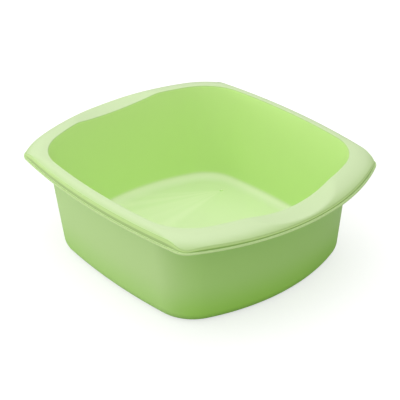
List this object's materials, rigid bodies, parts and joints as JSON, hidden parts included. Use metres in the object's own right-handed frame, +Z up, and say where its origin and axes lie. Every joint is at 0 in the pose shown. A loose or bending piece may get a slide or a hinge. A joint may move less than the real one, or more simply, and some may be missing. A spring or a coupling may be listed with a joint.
{
  "type": "washing up bowl",
  "caption": "Rectangular one-piece plastic washing up bowl with gently bowed sides and a rolled rim that widens into a scooped handle at each end.",
  "frame": {"origin": "middle of the base, on the surface it stands on", "axes": "+Z up, +X towards a handle end, +Y towards a long side"},
  "size_m": [0.384, 0.3222, 0.1325],
  "materials": {
    "bowl": "satin light green polypropylene"
  },
  "bodies": {
    "root": {"bowl": "bowl"}
  },
  "joints": []
}
